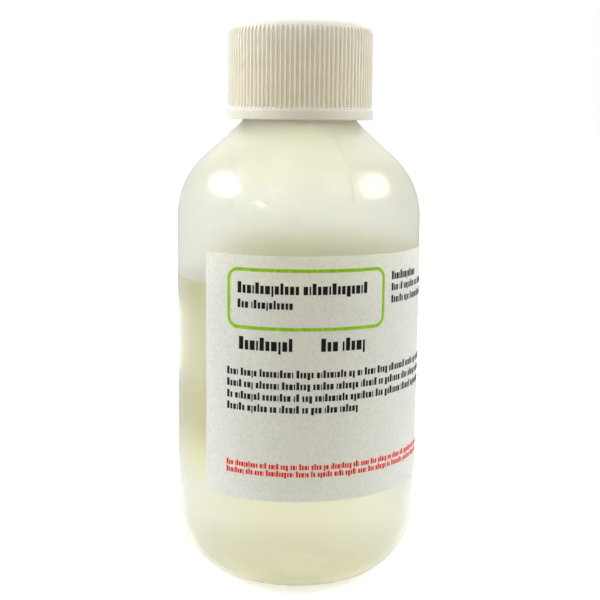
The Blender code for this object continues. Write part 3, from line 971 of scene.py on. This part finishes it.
def make_print_frame():
    """The round-cornered line round the label's heading."""
    left, right, low, high = -11.1 * MM, 14.4 * MM, 42.86 * MM, 52.1 * MM
    line, radius = 0.5 * MM, 1.8 * MM
    outer = with_steps(rounded_rectangle(left, low, right, high, radius, 9), 1.0 * MM)
    centre = ((left + right) / 2, (low + high) / 2)
    half = ((right - left) / 2, (high - low) / 2)

    def inset(point):
        """The point moved inwards by the line's width."""
        x, z = point[0] - centre[0], point[1] - centre[1]
        core = (half[0] - radius, half[1] - radius)
        foot = (min(core[0], max(-core[0], x)), min(core[1], max(-core[1], z)))
        away = (x - foot[0], z - foot[1])
        share = (radius - line) / math.hypot(*away)
        return (centre[0] + foot[0] + away[0] * share, centre[1] + foot[1] + away[1] * share)

    inner = [inset(point) for point in outer]
    bm = bmesh.new()
    count = len(outer)
    high_radius, low_radius = PAPER_RADIUS + INK_PROUD, PAPER_RADIUS - INK_SUNK
    section = ((outer, high_radius), (outer, low_radius), (inner, low_radius), (inner, high_radius))
    rings = [[bm.verts.new(on_label(x, z, radius)) for x, z in points] for points, radius in section]
    for a, b in zip(rings, rings[1:] + rings[:1]):
        for k in range(count):
            bm.faces.new((a[k], a[(k + 1) % count], b[(k + 1) % count], b[k]))
    ink_piece("print_frame", bm, ink("green_ink", srgb(120, 180, 12), srgb(160, 202, 36)))


# ---- Studio -----------------------------------------------------------------------------------

CAMERA_DISTANCE = 9.797 * BODY_RADIUS
CAMERA_HEIGHT = 3.872 * BODY_RADIUS
CAMERA_RIGHT = 0.018 * BODY_RADIUS
CAMERA_PITCH = math.radians(9.33)  # below level
CAMERA_ROLL = math.radians(0.61)
LENS, SENSOR_WIDTH = 71.1, 36  # mm


def make_camera():
    data = bpy.data.cameras.new("camera")
    data.sensor_width = SENSOR_WIDTH
    data.lens = LENS
    data.clip_start = 0.01
    camera = bpy.data.objects.new("camera", data)
    bpy.context.scene.collection.objects.link(camera)
    pitch = Matrix.Rotation(math.pi / 2 - CAMERA_PITCH, 4, "X")
    place = Matrix.Translation((CAMERA_RIGHT, -CAMERA_DISTANCE, CAMERA_HEIGHT))
    camera.matrix_world = place @ pitch @ Matrix.Rotation(CAMERA_ROLL, 4, "Z")
    bpy.context.scene.camera = camera


SHOULDER_AIM, NECK_AIM = Vector((0, 0, 60 * MM)), Vector((0, 0, 71 * MM))
# name, azimuth from the front to the right and elevation in degrees, distance, width, height, power, colour
SOFTBOXES = (
    ("softbox_left", -90, 34, 0.60, 0.44, 0.25, 2.8, (0.93, 0.965, 1.0)),
    ("softbox_right", 91, 34, 0.60, 0.42, 0.25, 1.75, (0.97, 0.985, 1.0)),
    ("lamp_left_high", -29, 44, 0.9, 0.11, 0.05, 0.26, (1, 1, 1)),
    ("lamp_left_low", -36, 23, 0.9, 0.08, 0.07, 0.5, (1.0, 0.86, 0.7)),
    ("lamp_right_high", 46, 51, 0.9, 0.10, 0.04, 0.2, (1, 1, 1)),
)


def place_light(name, kind, power, target, azimuth, elevation, distance):
    """A light that looks at a target from a distance. Returns the light and its data."""
    a, e = math.radians(azimuth), math.radians(elevation)
    away = Vector((math.sin(a) * math.cos(e), -math.cos(a) * math.cos(e), math.sin(e)))
    data = bpy.data.lights.new(name, kind)
    data.energy = power
    light = bpy.data.objects.new(name, data)
    bpy.context.scene.collection.objects.link(light)
    light.location = target + away * distance
    light.rotation_euler = away.to_track_quat("Z", "Y").to_euler()
    return light, data


def add_neck_lamp():
    """A narrow spot straight behind the bottle, aimed at its neck, which the cap would otherwise shade."""
    light, data = place_light("neck_lamp", "SPOT", 40.0, NECK_AIM, 180, -3, 0.5)
    light.visible_camera = False
    data.spot_size = math.radians(2.2)
    data.spot_blend = 1.0
    data.shadow_soft_size = 0.02


def add_softbox(name, azimuth, elevation, distance, width, height, power, colour):
    """A round or oval area light, aimed at the bottle's shoulder."""
    _, data = place_light(name, "AREA", power, SHOULDER_AIM, azimuth, elevation, distance)
    data.shape = "ELLIPSE"
    data.size, data.size_y = width, height
    data.color = colour


def make_lights():
    add_neck_lamp()
    for softbox in SOFTBOXES:
        add_softbox(*softbox)


def hidden_from_camera(tree, colour, seen):
    """colour for everything but the camera, which sees the other one."""
    rays = tree.nodes.new("ShaderNodeLightPath")
    return blended(tree, "MIX", rays.outputs["Is Camera Ray"], colour, seen)


def make_world():
    """White where the camera sees it. It lights the bottle more from behind than from the front."""
    world = bpy.data.worlds.new("studio")
    bpy.context.scene.world = world
    world.use_nodes = True
    tree = world.node_tree
    place = tree.nodes.new("ShaderNodeTexCoord")
    up_behind = (0, 0.74, 0.67)
    along = vector_math(tree, "DOT_PRODUCT", place.outputs["Generated"], up_behind)
    front, level, high = (0.48, 0.465, 0.42, 1), (0.72, 0.72, 0.71, 1), grey(2.3)
    light = ramp(tree, along, [(0.0, front), (0.78, level), (0.92, high)])
    seen = hidden_from_camera(tree, light, WHITE)
    tree.links.new(seen, tree.nodes["Background"].inputs["Color"])


def set_light_paths():
    """Light crosses up to twelve surfaces in the bottle and is scattered at most of them."""
    cycles = bpy.context.scene.cycles
    cycles.max_bounces = 24
    cycles.diffuse_bounces = 12
    cycles.glossy_bounces = 12
    cycles.transmission_bounces = 24


FLOOR_RADIUS = 3.0
FLOOR_FRONT, FLOOR_BACK = -0.06, 0.20  # where its shades begin, before the bottle, and end, behind it
FLOOR_WHITE = grey(0.93)


def floor_material():
    """White to the camera, which hides the horizon.

    The bottle sees it warm in front and grey far behind. It also sees a glow round the foot and a bright
    ring further out, at distances in metres, neither of them in front.
    """
    material, tree, shader = new_material("floor_white")
    behind = between(tree, coordinate(tree, "Y"), FLOOR_FRONT, FLOOR_BACK)
    warm, far = (0.5, 0.47, 0.38, 1), grey(0.6)
    lit = ramp(tree, behind, [(0.0, warm), (0.2, FLOOR_WHITE), (0.36, FLOOR_WHITE), (0.52, far)])
    tree.links.new(hidden_from_camera(tree, lit, FLOOR_WHITE), shader.inputs["Base Color"])
    shader.inputs["Roughness"].default_value = 0.9
    shader.inputs["Specular IOR Level"].default_value = 0.1
    from_axis = vector_math(tree, "LENGTH", object_place(tree))
    soft, bright = grey(0.48), grey(1.05)
    foot = [(0.04, soft), (0.065, BLACK)]
    ring = [(0.14, BLACK), (0.17, bright), (0.25, bright), (0.3, BLACK)]
    not_in_front = ramp(tree, behind, [(0.05, BLACK), (0.16, WHITE)])
    glow = blended(tree, "MULTIPLY", 1.0, ramp(tree, from_axis, foot + ring), not_in_front)
    tree.links.new(hidden_from_camera(tree, glow, grey(0.5)), shader.inputs["Emission Color"])
    shader.inputs["Emission Strength"].default_value = 1.0
    return material


def make_floor():
    mesh = bpy.data.meshes.new("floor")
    bm = bmesh.new()
    bmesh.ops.create_circle(bm, cap_ends=True, segments=96, radius=FLOOR_RADIUS)
    bm.to_mesh(mesh)
    bm.free()
    mesh.materials.append(floor_material())
    floor = bpy.data.objects.new("floor", mesh)
    bpy.context.scene.collection.objects.link(floor)


def main():
    make_camera()
    make_bottle()
    make_solution()
    make_plug()
    make_liner()
    make_cap()
    make_label()
    make_print()
    make_print_frame()
    make_floor()
    make_lights()
    make_world()
    set_light_paths()
    bpy.context.scene.view_settings.view_transform = "Standard"


main()
